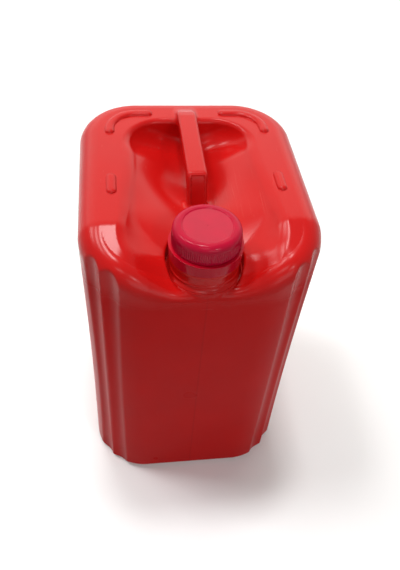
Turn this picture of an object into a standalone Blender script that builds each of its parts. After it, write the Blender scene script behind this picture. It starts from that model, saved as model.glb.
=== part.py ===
"""A stackable blow-moulded jerrycan of about 20 litres, with its screw cap, tamper ring and sealing disc.

Metres, +Z up. The origin is under the middle of the foot, and the neck is at the front, towards -Y.
Heights of the deck are measured down from the rim, and heights of the closure down from the neck's mouth.
"""

import math

import bmesh
import bpy
from mathutils import Vector

# Overall form of the can
WIDTH = 0.242
DEPTH = 0.281
RIM_HEIGHT = 0.385
WALL = 0.0021
CORNER_RADIUS = 0.065
SHOULDER_RADIUS = 0.023
FRONT_LIP_RADIUS = 0.010
FOOT_RADIUS = 0.0095
WAIST = 0.0018

# Flutes, a pair at each upright corner, that meet in a ridge on the corner's diagonal
FLUTE_ANGLE = math.radians(19.5)
FLUTE_DEPTH = 0.0045

# Front of the rim, which slopes down and dips towards the neck
SLOPE_LENGTH = 0.0615
RIM_SLOPE = math.tan(math.radians(18))
FRONT_DIP = 0.0245
DIP_OUTER = 0.085
DIP_INNER = 0.025
DIP_START = 0.0275
DIP_RUN = 0.0195

# Recess in the deck: the rim's widths round it, its corners and the run of its side walls
SIDE_RIM = 0.0432
BACK_RIM = 0.047
FRONT_RIM = 0.0088
RECESS_FLARE = 0.054
FLARE_LENGTH = 0.040
FLARE_SOFTNESS = 0.030
BACK_CORNER = 0.049
FRONT_CORNER = 0.047
RECESS_WALL_RUN = 0.012
RECESS_LIP = 0.0025
LIP_REACH = 0.050
LIP_RAMP = 0.6

# Floor of the recess: a valley under the grip, a hump behind the neck and a fall to the front
GRIP_DEPTH = 0.036
GRIP_RISE = 0.50
HUMP_DEPTH = 0.022
HUMP_RISE = 0.16
VALLEY_ROUNDING = 0.010
FLOOR_DISH_RADIUS = 0.42
FLOOR_BLEND = 0.010
HUMP_FOOT_BEHIND_NECK = 0.122
HUMP_TOP_BEHIND_NECK = 0.052
FALL_BEHIND_NECK = 0.032
FALL_SOFTNESS = 0.030
FLOOR_SLOPE = math.tan(math.radians(15.5))

# Carrying handle
HANDLE_WIDTH = 0.021
HANDLE_THICKNESS = 0.016
HANDLE_EDGE = 0.0032
HANDLE_RISE = 0.012
HANDLE_END_INSET = 0.0275
HANDLE_RAMP = 0.021
BEND_BEHIND_NECK = 0.0803
LEG_ANGLE = math.radians(66.5)
LEG_BURIED = 0.075
RAMP_BURIED = 0.018
BEND_CHAMFER = 0.002
PANEL_WIDTH = 0.0135
PANEL_DEPTH = 0.0008
PANEL_START = 0.0055
PANEL_LENGTH = 0.031

# Stacking ribs on the rim
RIB_WIDTH = 0.0105
RIB_HEIGHT = 0.0032
RIB_INSET = 0.034
CORNER_RIB_BACK_END = 0.038
CORNER_RIB_SIDE_LENGTH = 0.040
SIDE_RIB_LENGTH = 0.0315
SIDE_RIB_FROM_MIDDLE = -0.021

# Recess under the base, which clears the ribs, handle and cap of a can below
STACKING_CLEARANCE = 0.0018
RIB_CLEARANCE = 0.0015
BASE_RECESS_DRAFT = 0.006
BASE_RECESS_EDGE = 0.0020

# Neck
NECK_SETBACK = 0.0382
MOUTH_RISE = 0.0096
BORE_RADIUS = 0.0252
LOWER_BORE_RADIUS = 0.0310
THREAD_ROOT_RADIUS = 0.0286
THREAD_DEPTH = 0.0018
THREAD_PITCH = 0.006
THREAD_ROOT_HALF = 0.0014
THREAD_CREST_HALF = 0.0007
THREAD_RUN_OUT = 0.12
THREAD_OVERLAP = 0.0005
NECK_TURNS = 2.0
THREAD_START_DROP = 0.0156
GROOVE_RADIUS = 0.0306
SUPPORT_BEAD_RADIUS = 0.0354
SUPPORT_BEAD_HEIGHT = 0.0042
LOWER_NECK_RADIUS = 0.0334
NECK_FOOT_FLARE = 0.0028
LOWER_BEAD_RADIUS = 0.0345
LOWER_BEAD_RISE = 0.005
RETAINING_BEAD_RADIUS = 0.0331
BOSS_RADIUS = 0.0376
BOSS_DROP = 0.0491
WELL_RADIUS = 0.0384

# Closure
THREAD_CLEARANCE = 0.0008
SEAT_GAP = 0.0003
CAP_RADIUS = 0.0330
CAP_WALL_DROP = 0.0149
CAP_SHOULDER = 0.0065
CAP_TOP_THICKNESS = 0.0020
DISC_RADIUS = 0.0236
DISC_RECESS = 0.0008
CAP_TURNS = 1.25
CAP_THREAD_LEAD_IN = 0.1
CAP_RIBS = 72
CAP_RIB_DEPTH = 0.0006
CAP_RIB_MARGIN = 0.0012
GASKET_THICKNESS = 0.0020
GASKET_CLEARANCE = 0.0008
GASKET_BEVEL = 0.0003
BRIDGE_GAP = 0.0008
BRIDGES = 16
STUB_LENGTH = 0.0012
STUB_WIDTH = 0.0008
STUB_ROOT = 0.0006
BAND_RADIUS = 0.0362
BAND_HEIGHT = 0.0125
BAND_THICKNESS = 0.0019
BAND_FLANGE = 0.0013
BAND_EDGE = 0.0004
BAND_LIP = 0.0020
BAND_LIP_RISE = 0.0006
BAND_LIP_CLEARANCE = 0.0009

# Slim loop under the handle in which the deck's rings end
SPINE_HALF_WIDTH = 0.005
SPINE_END_INSET = 0.075

# Facets: how finely the round forms are cut, and how close two points are one
FLUTE_STEPS = 5
PLAIN_CORNER_STEPS = 3
FRONT_STEPS = 3
SIDE_STEPS = 8
ROUND_STEPS = 56
HELIX_STEPS = 24
JOIN_REACH = 0.000004

# Places that follow from the sizes above
NECK_Y = NECK_SETBACK - DEPTH / 2
SLOPE_START_Y = SLOPE_LENGTH - DEPTH / 2
MOUTH_Z = RIM_HEIGHT + MOUTH_RISE
BOSS_Z = MOUTH_Z - BOSS_DROP
GASKET_Z = MOUTH_Z + SEAT_GAP
CAP_CEILING_Z = GASKET_Z + GASKET_THICKNESS + SEAT_GAP
DISC_Z = CAP_CEILING_Z + CAP_TOP_THICKNESS
CAP_TOP_Z = DISC_Z + DISC_RECESS
CAP_BOTTOM_Z = MOUTH_Z - CAP_WALL_DROP
BAND_TOP_Z = CAP_BOTTOM_Z - BRIDGE_GAP
BAND_BOTTOM_Z = BAND_TOP_Z - BAND_HEIGHT
SUPPORT_BEAD_Z = BAND_BOTTOM_Z - SEAT_GAP
CAP_BORE_RADIUS = THREAD_ROOT_RADIUS + THREAD_DEPTH + THREAD_CLEARANCE
BASE_RECESS_DEPTH = CAP_TOP_Z - RIM_HEIGHT + STACKING_CLEARANCE
BASE_RECESS_INSET = RIB_INSET - RIB_WIDTH / 2 - RIB_CLEARANCE
CUTTER_TOP_Z = MOUTH_Z + 0.010


def smooth(value):
    """Ease from 0 to 1 as value goes from 0 to 1."""
    t = min(max(value, 0.0), 1.0)
    return t * t * (3 - 2 * t)


def blend(low, high, share):
    return low + (high - low) * share


def smooth_min(a, b, reach):
    """The lower of two heights, eased into each other where they differ by less than reach."""
    share = min(max(0.5 + 0.5 * (b - a) / reach, 0.0), 1.0)
    return blend(b, a, share) - reach * share * (1 - share)


# Height of the deck

def rim_height(x, y):
    """The flat rim, with its sloping front and the dip in front of the neck."""
    ahead = max(0.0, SLOPE_START_Y - y)
    across = smooth((DIP_OUTER - abs(x)) / (DIP_OUTER - DIP_INNER))
    along = smooth((DIP_START - DEPTH / 2 - y) / DIP_RUN)
    return RIM_HEIGHT - RIM_SLOPE * ahead - FRONT_DIP * across * along


def recess_distance(x, y):
    """Distance from the recess's outline in plan, negative inside it."""
    back = DEPTH / 2 - BACK_RIM
    front = FRONT_RIM - DEPTH / 2
    middle = (back + front) / 2
    half_width = WIDTH / 2 - SIDE_RIM
    widening = RECESS_FLARE * smooth_min(middle - y, FLARE_LENGTH, FLARE_SOFTNESS)
    across = abs(x) * half_width / (half_width + widening)
    radius = BACK_CORNER if y > middle else FRONT_CORNER
    over_side = across - half_width + radius
    over_end = abs(y - middle) - (back - front) / 2 + radius
    outside = math.hypot(max(over_side, 0.0), max(over_end, 0.0))
    return outside + min(max(over_side, over_end), 0.0) - radius


def deck_floor(x, y):
    """The recess's floor: a valley under the handle that rises to a hump behind the neck, then falls."""
    hump_foot = NECK_Y + HUMP_FOOT_BEHIND_NECK
    hump_top = NECK_Y + HUMP_TOP_BEHIND_NECK
    share = smooth((hump_foot - y) / (hump_foot - hump_top))
    depth = blend(GRIP_DEPTH, HUMP_DEPTH, share)
    rise = blend(GRIP_RISE, HUMP_RISE, share)
    fall = -FLOOR_SLOPE * smooth_min(0.0, y - NECK_Y - FALL_BEHIND_NECK, FALL_SOFTNESS)
    across = math.hypot(x, VALLEY_ROUNDING) - VALLEY_ROUNDING
    return RIM_HEIGHT - depth - fall + rise * across + x * x / (2 * FLOOR_DISH_RADIUS)


def deck_height(x, y):
    rim = rim_height(x, y)
    inside = -recess_distance(x, y)
    lip = RECESS_LIP * smooth(abs(x) / LIP_REACH)
    highest = rim - lip + LIP_RAMP * max(inside, 0.0)
    floor = smooth_min(deck_floor(x, y), highest, FLOOR_BLEND)
    return blend(rim, floor, smooth(inside / RECESS_WALL_RUN))


# Outline of the can in plan

class Spoke:
    """A point on the can's outline, its outward direction, and how deep the flute is there."""

    def __init__(self, x, y, angle, flute=0.0):
        self.point = Vector((x, y))
        self.out = Vector((math.cos(angle), math.sin(angle)))
        self.flute = flute

    def mirrored(self):
        twin = Spoke(-self.point.x, self.point.y, 0.0, self.flute)
        twin.out = Vector((-self.out.x, self.out.y))
        return twin

    def inset(self, distance):
        return self.point - self.out * distance

    @property
    def lip_radius(self):
        """Radius of the edge between wall and rim, which tightens towards the front."""
        share = smooth((self.point.y + DEPTH / 2) / SLOPE_LENGTH)
        return blend(FRONT_LIP_RADIUS, SHOULDER_RADIUS, share)

    @property
    def rim_z(self):
        edge = self.inset(self.lip_radius)
        return rim_height(edge.x, edge.y)


def corner_spokes(centre_y, start_angle):
    """The spokes of one upright corner, from its start to just before its end."""
    centre_x = WIDTH / 2 - CORNER_RADIUS
    plain = math.pi / 4 - FLUTE_ANGLE
    steps = []
    for i in range(PLAIN_CORNER_STEPS):
        steps.append((plain * i / PLAIN_CORNER_STEPS, 0.0))
    for flute in range(2):
        for i in range(FLUTE_STEPS):
            share = i / FLUTE_STEPS
            hollow = FLUTE_DEPTH * (1 - (2 * share - 1) ** 2)
            steps.append((plain + FLUTE_ANGLE * (flute + share), hollow))
    for i in range(PLAIN_CORNER_STEPS):
        steps.append((math.pi / 2 - plain + plain * i / PLAIN_CORNER_STEPS, 0.0))
    spokes = []
    for angle, hollow in steps:
        turn = start_angle + angle
        x = centre_x + CORNER_RADIUS * math.cos(turn)
        y = centre_y + CORNER_RADIUS * math.sin(turn)
        spokes.append(Spoke(x, y, turn, hollow))
    return spokes


def outline_spokes():
    """Spokes all round the can, from the front's middle anticlockwise; the left half mirrors the right."""
    flat_x = WIDTH / 2 - CORNER_RADIUS
    flat_y = DEPTH / 2 - CORNER_RADIUS
    right = []
    for i in range(FRONT_STEPS):
        right.append(Spoke(flat_x * i / FRONT_STEPS, -DEPTH / 2, -math.pi / 2))
    right += corner_spokes(-flat_y, -math.pi / 2)
    for i in range(SIDE_STEPS):
        right.append(Spoke(WIDTH / 2, blend(-flat_y, flat_y, i / SIDE_STEPS), 0.0))
    right += corner_spokes(flat_y, 0.0)
    for i in range(FRONT_STEPS + 1):
        right.append(Spoke(flat_x * (1 - i / FRONT_STEPS), DEPTH / 2, math.pi / 2))
    left = [spoke.mirrored() for spoke in reversed(right[1:-1])]
    return right + left


def share_on_line(start, end, distance):
    """Share of the way from start to end at which the recess's distance falls to the given one."""
    low, high = 0.0, 1.0
    for _ in range(30):
        middle = (low + high) / 2
        point = start.lerp(end, middle)
        if recess_distance(point.x, point.y) > distance:
            low = middle
        else:
            high = middle
    return high


def spine_point(index, count):
    """The slim loop under the handle in which the deck's rings end."""
    turn = 2 * math.pi * index / count
    half_length = DEPTH / 2 - SPINE_END_INSET
    return Vector((SPINE_HALF_WIDTH * math.sin(turn), -half_length * math.cos(turn)))


def can_loops():
    """The can's outer surface as loops from the base's middle, out, up the walls and in over the deck.

    Each loop comes with a flag that says whether the inner surface follows it too.
    """
    spokes = outline_spokes()
    loops = []

    def add(place, inner=True):
        loops.append(([Vector(place(i, spoke)) for i, spoke in enumerate(spokes)], inner))

    def flat_at(distance, z):
        return lambda i, spoke: (*spoke.inset(distance), z)

    add(flat_at(BASE_RECESS_INSET + BASE_RECESS_DRAFT, BASE_RECESS_DEPTH))
    add(flat_at(BASE_RECESS_INSET + BASE_RECESS_EDGE, BASE_RECESS_EDGE), inner=False)
    add(flat_at(BASE_RECESS_INSET, 0.0))
    foot_steps = 4
    for step in range(foot_steps):
        turn = math.pi / 2 * step / foot_steps
        distance = FOOT_RADIUS * (1 - math.sin(turn))
        z = FOOT_RADIUS * (1 - math.cos(turn))
        add(
            lambda i, spoke, d=distance, h=z: (*spoke.inset(max(d, spoke.flute)), h),
            inner=step != 1,
        )

    wall_steps = 5
    for step in range(wall_steps + 1):
        share = step / wall_steps

        def wall_point(i, spoke, share=share):
            z = blend(FOOT_RADIUS, spoke.rim_z - spoke.lip_radius, share)
            drawn_in = WAIST * math.sin(math.pi * share)
            return (*spoke.inset(max(drawn_in, spoke.flute)), z)

        add(wall_point, inner=step not in (1, 3))

    lip_steps = 4
    for step in range(1, lip_steps + 1):
        turn = math.pi / 2 * step / lip_steps

        def lip_point(i, spoke, turn=turn):
            distance = spoke.lip_radius * (1 - math.cos(turn))
            z = spoke.rim_z - spoke.lip_radius * (1 - math.sin(turn))
            return (*spoke.inset(max(distance, spoke.flute)), z)

        add(lip_point, inner=step != 1)

    starts = [spoke.inset(spoke.lip_radius) for spoke in spokes]
    ends = [spine_point(i, len(spokes)) for i in range(len(spokes))]
    edges = [share_on_line(a, b, 0.0) for a, b in zip(starts, ends)]
    feet = [share_on_line(a, b, -RECESS_WALL_RUN) for a, b in zip(starts, ends)]

    def deck_point(i, share):
        point = starts[i].lerp(ends[i], share)
        return (point.x, point.y, deck_height(point.x, point.y))

    rim_steps, slope_steps, floor_steps = 2, 4, 4
    for step in range(1, rim_steps + 1):
        add(lambda i, spoke, s=step / rim_steps: deck_point(i, edges[i] * s), inner=step == rim_steps)
    for step in range(1, slope_steps + 1):
        add(lambda i, spoke, s=step / slope_steps: deck_point(i, blend(edges[i], feet[i], s)))
    for step in range(1, floor_steps + 1):
        add(lambda i, spoke, s=step / floor_steps: deck_point(i, blend(feet[i], 1.0, s)))
    return loops


# Mesh helpers

def mesh_from_loops(name, loops, wrap=False, seam_last=False):
    """A closed mesh through loops of equal length, capped at both ends unless it wraps round.

    With seam_last the last loop is closed by quads across it, from each point to its mirror twin.
    """
    mesh = bmesh.new()
    rings = [[mesh.verts.new(point) for point in loop] for loop in loops]
    count = len(rings[0])
    pairs = list(zip(rings, rings[1:]))
    if wrap:
        pairs.append((rings[-1], rings[0]))
    for lower, upper in pairs:
        for i in range(count):
            j = (i + 1) % count
            mesh.faces.new((lower[i], lower[j], upper[j], upper[i]))
    if not wrap:
        mesh.faces.new(list(reversed(rings[0])))
        if seam_last:
            last = rings[-1]
            half = count // 2
            mesh.faces.new((last[0], last[1], last[count - 1]))
            for i in range(1, half - 1):
                mesh.faces.new((last[i], last[i + 1], last[count - i - 1], last[count - i]))
            mesh.faces.new((last[half - 1], last[half], last[half + 1]))
        else:
            mesh.faces.new(rings[-1])
    bmesh.ops.recalc_face_normals(mesh, faces=mesh.faces)
    data = bpy.data.meshes.new(name)
    mesh.to_mesh(data)
    mesh.free()
    return data


def add_object(name, data, location=(0.0, 0.0, 0.0)):
    obj = bpy.data.objects.new(name, data)
    obj.location = location
    bpy.context.scene.collection.objects.link(obj)
    return obj


def make_helper(obj):
    """A shape that is only joined to or cut from another one."""
    obj.hide_render = True
    obj.display_type = "WIRE"
    return obj


def apply_boolean(target, other, operation):
    modifier = target.modifiers.new(f"{operation} {other.name}", "BOOLEAN")
    modifier.operation = operation
    modifier.solver = "EXACT"
    modifier.object = make_helper(other)


def shade_round(data, angle=35):
    data.shade_smooth()
    data.set_sharp_from_angle(angle=math.radians(angle))


def circle(radius, z, count=ROUND_STEPS):
    points = []
    for i in range(count):
        turn = 2 * math.pi * i / count
        points.append(Vector((radius * math.cos(turn), radius * math.sin(turn), z)))
    return points


def turned(name, profile, wrap=False, count=ROUND_STEPS):
    """A turned piece from (radius, height) pairs, standing on the neck's axis."""
    data = mesh_from_loops(name, [circle(r, z, count) for r, z in profile], wrap)
    shade_round(data)
    return add_object(name, data, (0.0, NECK_Y, 0.0))


def thread_ridge(name, root, crest, start_z, first_turn, turns):
    """A helical ridge that grows from its root towards its crest and dies away at both ends."""
    steps = round(turns * HELIX_STEPS)
    loops = []
    for step in range(steps + 1):
        share = turns * step / steps
        turn = 2 * math.pi * (first_turn + share)
        z = start_z + THREAD_PITCH * (first_turn + share)
        height = blend(0.15, 1.0, smooth(min(share, turns - share) / THREAD_RUN_OUT))
        tip = blend(root, crest, height)
        section = (
            (root, -THREAD_ROOT_HALF),
            (tip, -THREAD_CREST_HALF),
            (tip, THREAD_CREST_HALF),
            (root, THREAD_ROOT_HALF),
        )
        loops.append([Vector((r * math.cos(turn), r * math.sin(turn), z + dz)) for r, dz in section])
    return add_object(name, mesh_from_loops(name, loops), (0.0, NECK_Y, 0.0))


# Carrying handle

def rounded_section(width, thickness, radius, corner_steps=2):
    """Corners of a rounded rectangle, as (across, along the thickness) pairs."""
    points = []
    for quarter in range(4):
        turn_x = 1 if quarter in (0, 3) else -1
        turn_y = 1 if quarter in (0, 1) else -1
        for step in range(corner_steps + 1):
            turn = math.pi / 2 * (quarter + step / corner_steps)
            across = turn_x * (width / 2 - radius) + radius * math.cos(turn)
            along = turn_y * (thickness / 2 - radius) + radius * math.sin(turn)
            points.append((across, along))
    return points


def leg_face():
    """Top corner of the leg's front face, the direction down it and the direction out of it."""
    corner = Vector((NECK_Y + BEND_BEHIND_NECK, RIM_HEIGHT + HANDLE_RISE))
    down = Vector((-math.cos(LEG_ANGLE), -math.sin(LEG_ANGLE)))
    return corner, down, Vector((down.y, -down.x))


def handle_route():
    """The handle's centre line in the middle plane, as (y, z) points from the back rim to the deck."""
    half = HANDLE_THICKNESS / 2
    top = RIM_HEIGHT + HANDLE_RISE
    back_end = Vector((DEPTH / 2 - HANDLE_END_INSET, RIM_HEIGHT))
    ramp_top = Vector((back_end.x - HANDLE_RAMP, top))
    ramp = (ramp_top - back_end).normalized()
    ramp_out = Vector((ramp.y, -ramp.x))
    ramp_line = back_end - ramp_out * half
    back_bend = ramp_line + ramp * ((top - half - ramp_line.y) / ramp.y)
    start = ramp_line - ramp * RAMP_BURIED

    corner, leg, leg_out = leg_face()
    leg_line = corner - leg_out * half
    front_bend = leg_line + leg * ((top - half - leg_line.y) / leg.y)
    end = front_bend + leg * LEG_BURIED
    return [start, back_bend, front_bend, end]


def chamfered(route, distance):
    """The route with each bend cut off by a short straight."""
    points = [route[0]]
    for before, here, after in zip(route, route[1:], route[2:]):
        points.append(here + (before - here).normalized() * distance)
        points.append(here + (after - here).normalized() * distance)
    points.append(route[-1])
    return points


def swept_bar(name, route, section):
    """A bar whose section is mitred at each bend of a route in the middle plane."""
    loops = []
    for i, point in enumerate(route):
        before = (point - route[i - 1]).normalized() if i else None
        after = (route[i + 1] - point).normalized() if i + 1 < len(route) else None
        before = before or after
        after = after or before
        along = (before + after).normalized()
        stretch = 1 / along.dot(after)
        normal = Vector((along.y, -along.x)) * stretch
        loop = []
        for across, out in section:
            place = point + normal * out
            loop.append(Vector((across, place.x, place.y)))
        loops.append(loop)
    data = mesh_from_loops(name, loops)
    shade_round(data)
    return add_object(name, data)


def leg_panel():
    """A thin block that sinks a flat panel into the front of the handle's leg, down to the deck."""
    corner, leg, out = leg_face()
    loops = []
    for distance in (PANEL_START, PANEL_START + PANEL_LENGTH):
        middle = corner + leg * distance
        loop = []
        for across, height in ((-1, -1), (1, -1), (1, 1), (-1, 1)):
            place = middle + out * PANEL_DEPTH * height
            loop.append(Vector((across * PANEL_WIDTH / 2, place.x, place.y)))
        loops.append(loop)
    return add_object("leg_panel", mesh_from_loops("leg_panel", loops))


# Stacking ribs

def rib_loops(path):
    """Loops of a round-topped rib along a plan path on the rim, with round ends."""
    half = RIB_WIDTH / 2
    stations = []
    end_turns = (75, 45, 20)
    tangent = (path[0] - path[1]).normalized()
    for turn in map(math.radians, end_turns):
        stations.append((path[0] + tangent * half * math.sin(turn), -tangent, math.cos(turn)))
    for i, point in enumerate(path):
        before = path[max(i - 1, 0)]
        after = path[min(i + 1, len(path) - 1)]
        stations.append((point, (after - before).normalized(), 1.0))
    tangent = (path[-1] - path[-2]).normalized()
    for turn in map(math.radians, reversed(end_turns)):
        stations.append((path[-1] + tangent * half * math.sin(turn), tangent, math.cos(turn)))
    loops = []
    for point, direction, size in stations:
        side = Vector((-direction.y, direction.x))
        loop = []
        for step in range(10):
            turn = 2 * math.pi * (step + 0.5) / 10
            place = point + side * half * size * math.cos(turn)
            z = RIM_HEIGHT + RIB_HEIGHT * size * math.sin(turn)
            loop.append(Vector((place.x, place.y, z)))
        loops.append(loop)
    return loops


def corner_rib_path(side):
    """From near the middle of the back rim, round the back corner and along the side rim."""
    x = WIDTH / 2 - RIB_INSET
    y = DEPTH / 2 - RIB_INSET
    radius = CORNER_RADIUS - RIB_INSET
    half = RIB_WIDTH / 2
    path = [Vector((CORNER_RIB_BACK_END + half, y))]
    bend_steps = 6
    for step in range(bend_steps + 1):
        turn = math.pi / 2 * (1 - step / bend_steps)
        path.append(Vector((x - radius + radius * math.cos(turn), y - radius + radius * math.sin(turn))))
    path.append(Vector((x, y - CORNER_RIB_SIDE_LENGTH + half)))
    return [Vector((side * point.x, point.y)) for point in path]


def side_rib_path(side):
    x = side * (WIDTH / 2 - RIB_INSET)
    half = (SIDE_RIB_LENGTH - RIB_WIDTH) / 2
    return [Vector((x, SIDE_RIB_FROM_MIDDLE + half)), Vector((x, SIDE_RIB_FROM_MIDDLE - half))]


def stacking_ribs():
    ribs = []
    for name, side in (("left", -1), ("right", 1)):
        for kind, path in (("corner", corner_rib_path(side)), ("side", side_rib_path(side))):
            label = f"{kind}_rib_{name}"
            ribs.append(add_object(label, mesh_from_loops(label, rib_loops(path))))
    return ribs


# Neck

def neck_profile():
    """Outside of the neck from its foot to its mouth, with the beads that hold the tamper ring."""
    foot = BOSS_Z
    low_bead = BOSS_Z + LOWER_BEAD_RISE
    bead_low = SUPPORT_BEAD_Z - SUPPORT_BEAD_HEIGHT
    edge = 0.0004
    lip_top = BAND_BOTTOM_Z + BAND_LIP_RISE + BAND_LIP
    hold = lip_top + 0.0016
    return [
        (LOWER_NECK_RADIUS + NECK_FOOT_FLARE, foot - 0.010),
        (LOWER_NECK_RADIUS + NECK_FOOT_FLARE, foot + 0.0005),
        (LOWER_NECK_RADIUS + 0.0008, foot + 0.0013),
        (LOWER_NECK_RADIUS, foot + 0.0030),
        (LOWER_NECK_RADIUS, low_bead - 0.0004),
        (LOWER_BEAD_RADIUS, low_bead + 0.0002),
        (LOWER_BEAD_RADIUS, low_bead + 0.0014),
        (LOWER_NECK_RADIUS, low_bead + 0.0024),
        (LOWER_NECK_RADIUS, bead_low),
        (SUPPORT_BEAD_RADIUS, bead_low + edge),
        (SUPPORT_BEAD_RADIUS, SUPPORT_BEAD_Z - edge),
        (SUPPORT_BEAD_RADIUS - edge, SUPPORT_BEAD_Z),
        (GROOVE_RADIUS, SUPPORT_BEAD_Z),
        (GROOVE_RADIUS, hold),
        (RETAINING_BEAD_RADIUS, hold + 0.0004),
        (RETAINING_BEAD_RADIUS, hold + 0.0012),
        (GROOVE_RADIUS, hold + 0.0036),
        (THREAD_ROOT_RADIUS, hold + 0.0044),
        (THREAD_ROOT_RADIUS, MOUTH_Z - 0.0008),
        (THREAD_ROOT_RADIUS - 0.0008, MOUTH_Z),
    ]


def bore_profile():
    """Hollow of the neck, wide at its foot and narrow behind the thread."""
    return [
        (LOWER_BORE_RADIUS, BOSS_Z - 0.016),
        (LOWER_BORE_RADIUS, SUPPORT_BEAD_Z - SUPPORT_BEAD_HEIGHT - 0.0015),
        (GROOVE_RADIUS - 0.0028, SUPPORT_BEAD_Z),
        (BORE_RADIUS, SUPPORT_BEAD_Z + 0.006),
        (BORE_RADIUS, CUTTER_TOP_Z),
    ]


def build_can():
    """The blow-moulded can: shell, deck, handle, ribs and neck as one hollow piece."""
    loops = can_loops()
    data = mesh_from_loops("can_body", [loop for loop, _ in loops], seam_last=True)
    count = len(loops[0][0])
    inner_loops = []
    for index, (loop, inner) in enumerate(loops):
        if inner:
            normals = [data.vertices[index * count + i].normal for i in range(count)]
            inner_loops.append([point - normal * WALL for point, normal in zip(loop, normals)])
    shade_round(data)
    can = add_object("can_body", data)

    cavity = add_object("cavity", mesh_from_loops("cavity", inner_loops, seam_last=True))
    guard = [(WELL_RADIUS + WALL, BOSS_Z - WALL), (WELL_RADIUS + WALL, CUTTER_TOP_Z)]
    apply_boolean(cavity, turned("well_guard", guard), "DIFFERENCE")
    core = rounded_section(
        HANDLE_WIDTH - 2 * WALL,
        HANDLE_THICKNESS - 2 * WALL,
        HANDLE_EDGE - WALL / 2,
        corner_steps=1,
    )
    route = chamfered(handle_route(), BEND_CHAMFER)
    apply_boolean(cavity, swept_bar("handle_core", route, core), "UNION")
    apply_boolean(cavity, turned("bore", bore_profile()), "UNION")

    boss = [(BOSS_RADIUS, BOSS_Z - 0.020), (BOSS_RADIUS, BOSS_Z)]
    apply_boolean(can, turned("neck_boss", boss), "UNION")
    well = [(WELL_RADIUS, BOSS_Z), (WELL_RADIUS, CUTTER_TOP_Z)]
    apply_boolean(can, turned("well", well), "DIFFERENCE")
    apply_boolean(can, turned("neck", neck_profile()), "UNION")
    crest = THREAD_ROOT_RADIUS + THREAD_DEPTH
    start_z = MOUTH_Z - THREAD_START_DROP
    root = THREAD_ROOT_RADIUS - THREAD_OVERLAP
    ridge = thread_ridge("neck_thread", root, crest, start_z, 0.0, NECK_TURNS)
    apply_boolean(can, ridge, "UNION")
    bar = swept_bar("handle_bar", route, rounded_section(HANDLE_WIDTH, HANDLE_THICKNESS, HANDLE_EDGE))
    apply_boolean(can, bar, "UNION")
    apply_boolean(can, leg_panel(), "DIFFERENCE")
    for rib in stacking_ribs():
        apply_boolean(can, rib, "UNION")
    apply_boolean(can, cavity, "DIFFERENCE")
    return can


# Closure

def build_cap():
    """The screw cap: recessed disc, rounded shoulder, ribbed skirt and internal thread."""
    shoulder_z = CAP_TOP_Z - CAP_SHOULDER
    shoulder_r = CAP_RADIUS - CAP_SHOULDER
    profile = [(DISC_RADIUS, DISC_Z), (DISC_RADIUS + 0.0009, CAP_TOP_Z)]
    arc_steps = 4
    for step in range(arc_steps + 1):
        turn = math.pi / 2 * (1 - step / arc_steps)
        radius = shoulder_r + CAP_SHOULDER * math.cos(turn)
        profile.append((radius, shoulder_z + CAP_SHOULDER * math.sin(turn)))
    profile += [
        (CAP_RADIUS, CAP_BOTTOM_Z),
        (CAP_BORE_RADIUS + 0.0004, CAP_BOTTOM_Z),
        (CAP_BORE_RADIUS, CAP_BOTTOM_Z + 0.0006),
        (CAP_BORE_RADIUS, CAP_CEILING_Z),
    ]
    cap = turned("screw_cap", profile)

    ridge_root = CAP_BORE_RADIUS + THREAD_OVERLAP
    ridge_crest = THREAD_ROOT_RADIUS + THREAD_CLEARANCE
    start_z = MOUTH_Z - THREAD_START_DROP + THREAD_PITCH / 2
    ridge = thread_ridge("cap_thread", ridge_root, ridge_crest, start_z, CAP_THREAD_LEAD_IN, CAP_TURNS)
    apply_boolean(cap, ridge, "UNION")
    apply_boolean(cap, cap_ribs(shoulder_z), "UNION")
    return cap


def cap_ribs(top_z):
    """A fluted ring round the cap's skirt."""
    loops = []
    inner = CAP_RADIUS - 0.0008
    low, high = CAP_BOTTOM_Z + CAP_RIB_MARGIN, top_z - CAP_RIB_MARGIN
    for kind, z in (("inner", high), ("outer", high), ("outer", low), ("inner", low)):
        loop = []
        for i in range(2 * CAP_RIBS):
            crest = CAP_RADIUS + (CAP_RIB_DEPTH if i % 2 else -0.0003)
            radius = crest if kind == "outer" else inner
            turn = math.pi * i / CAP_RIBS
            loop.append(Vector((radius * math.cos(turn), radius * math.sin(turn), z)))
        loops.append(loop)
    data = mesh_from_loops("cap_ribs", loops, wrap=True)
    return add_object("cap_ribs", data, (0.0, NECK_Y, 0.0))


def build_band():
    """The tamper ring: a plain band with a top flange, and a lip that hooks under the neck's bead."""
    inner = BAND_RADIUS - BAND_THICKNESS
    lip = GROOVE_RADIUS + BAND_LIP_CLEARANCE
    lip_low = BAND_BOTTOM_Z + BAND_LIP_RISE
    under_flange = BAND_TOP_Z - BAND_FLANGE
    profile = [
        (BAND_RADIUS, BAND_BOTTOM_Z),
        (BAND_RADIUS, BAND_TOP_Z - BAND_EDGE),
        (BAND_RADIUS - BAND_EDGE, BAND_TOP_Z),
        (CAP_BORE_RADIUS, BAND_TOP_Z),
        (CAP_BORE_RADIUS, under_flange),
        (inner, under_flange),
        (inner, lip_low + BAND_LIP),
        (lip, lip_low + BAND_LIP),
        (lip, lip_low + 0.0004),
        (inner, BAND_BOTTOM_Z),
    ]
    band = turned("tamper_band", profile, wrap=True)
    stub_radius = (CAP_BORE_RADIUS + CAP_RADIUS) / 2
    stub_top = BAND_TOP_Z + BRIDGE_GAP - SEAT_GAP
    for i in range(BRIDGES):
        turn = 2 * math.pi * (i + 0.5) / BRIDGES
        stub = bridge_stub(f"bridge_stub_{i}", stub_radius, turn, stub_top)
        apply_boolean(band, stub, "UNION")
    return band


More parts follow.
